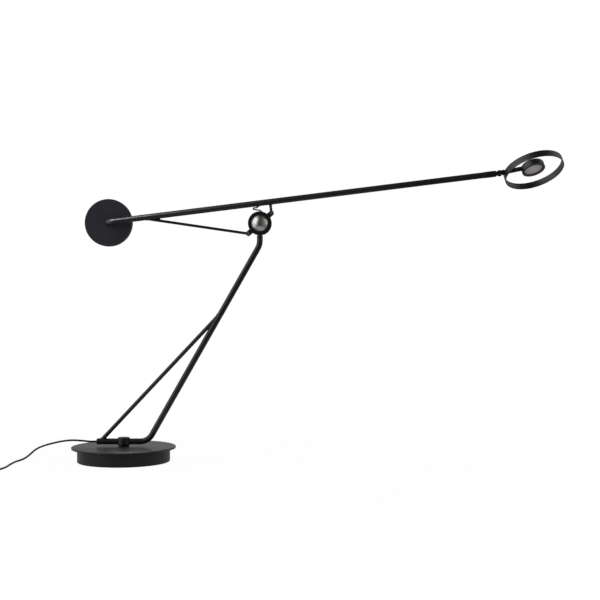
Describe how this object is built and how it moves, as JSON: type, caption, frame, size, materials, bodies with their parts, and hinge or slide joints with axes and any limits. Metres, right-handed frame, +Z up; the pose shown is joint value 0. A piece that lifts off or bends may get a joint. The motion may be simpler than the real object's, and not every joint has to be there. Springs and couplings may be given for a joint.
{
  "type": "balance desk lamp",
  "caption": "Balance desk lamp: round weighted base, bent braced stand, clamped ball joint, long arm with a disc counterweight and a small lamp in a ring.",
  "frame": {"origin": "centre of the base's underside, on the table", "axes": "+Z up, +X from the base towards the lamp head at rest, +Y towards the back"},
  "size_m": [1.185, 0.2982, 0.6175],
  "materials": {
    "black_paint": "satin black paint",
    "head_paint": "satin black paint on aluminium",
    "black_iron": "satin black paint on cast iron",
    "rubber": "matte black rubber",
    "nylon": "matte black",
    "steel": "zinc plated",
    "polished_steel": "polished",
    "black_plastic": "matte black",
    "cord_sheath": "matte black sheath",
    "white_board": "matte white",
    "opal": "opal, frosted",
    "pin_metal": "nickel-plated brass"
  },
  "bodies": {
    "base": {"foot_pad": "rubber", "base_weight": "black_iron", "top_plate": "black_paint", "plate_screws": "steel", "slide_ring": "nylon"},
    "stand": {"swivel_post": "black_paint", "post_washer": "steel", "post_bolt": "steel", "post_grub_screw": "steel", "stand_tube": "black_paint", "brace": "black_paint", "tail_plug": "black_plastic", "stand_lead": "cord_sheath", "stem_neck": "black_paint", "cord": "cord_sheath", "cord_coil": "cord_sheath", "cord_tail": "cord_sheath", "cord_tie": "rubber", "plug_body": "black_plastic", "plug_pins": "pin_metal"},
    "ball": {"ball": "polished_steel", "jumper_lead": "cord_sheath"},
    "arm": {"clamp_front": "black_paint", "clamp_back": "black_paint", "clamp_screws": "steel", "clamp_nuts": "steel", "short_strut": "black_paint", "long_strut": "black_paint", "arm_tube": "black_paint", "arm_grommet": "rubber", "arm_lead": "cord_sheath", "weight_insert": "steel", "counterweight": "head_paint", "counterweight_bolt": "steel", "end_fitting": "black_paint", "roll_screw": "steel"},
    "head_swivel": {"roll_fork": "black_paint", "hinge_pin": "steel"},
    "head": {"head_stem": "head_paint", "head_lead": "cord_sheath", "head_ring": "head_paint", "lamp_housing": "head_paint", "led_board": "white_board", "reflector": "white_board", "diffuser": "opal", "bezel": "head_paint"}
  },
  "joints": [
    {"name": "base_swivel", "type": "hinge", "parent": "base", "child": "stand", "pos_m": [0, 0, 0.04], "axis": [0, 0, 1], "range_deg": [-160, 160]},
    {"name": "ball_swivel", "type": "hinge", "parent": "stand", "child": "ball", "pos_m": [0.27213, 0, 0.4767], "axis": [0, 0, 1], "range_deg": [-150, 150]},
    {"name": "arm_tilt", "type": "hinge", "parent": "ball", "child": "arm", "pos_m": [0.27213, 0, 0.4767], "axis": [0, -1, 0], "range_deg": [-40, 20], "deforming": ["jumper_lead"]},
    {"name": "head_roll", "type": "hinge", "parent": "arm", "child": "head_swivel", "pos_m": [0.7514, 0, 0.57701], "axis": [0.9923, 0, 0.1236], "range_deg": [-75, 125]},
    {"name": "head_tilt", "type": "hinge", "parent": "head_swivel", "child": "head", "pos_m": [0.7514, 0, 0.57701], "axis": [-0.0532, -0.9026, 0.4272], "range_deg": [-85, 70]}
  ]
}
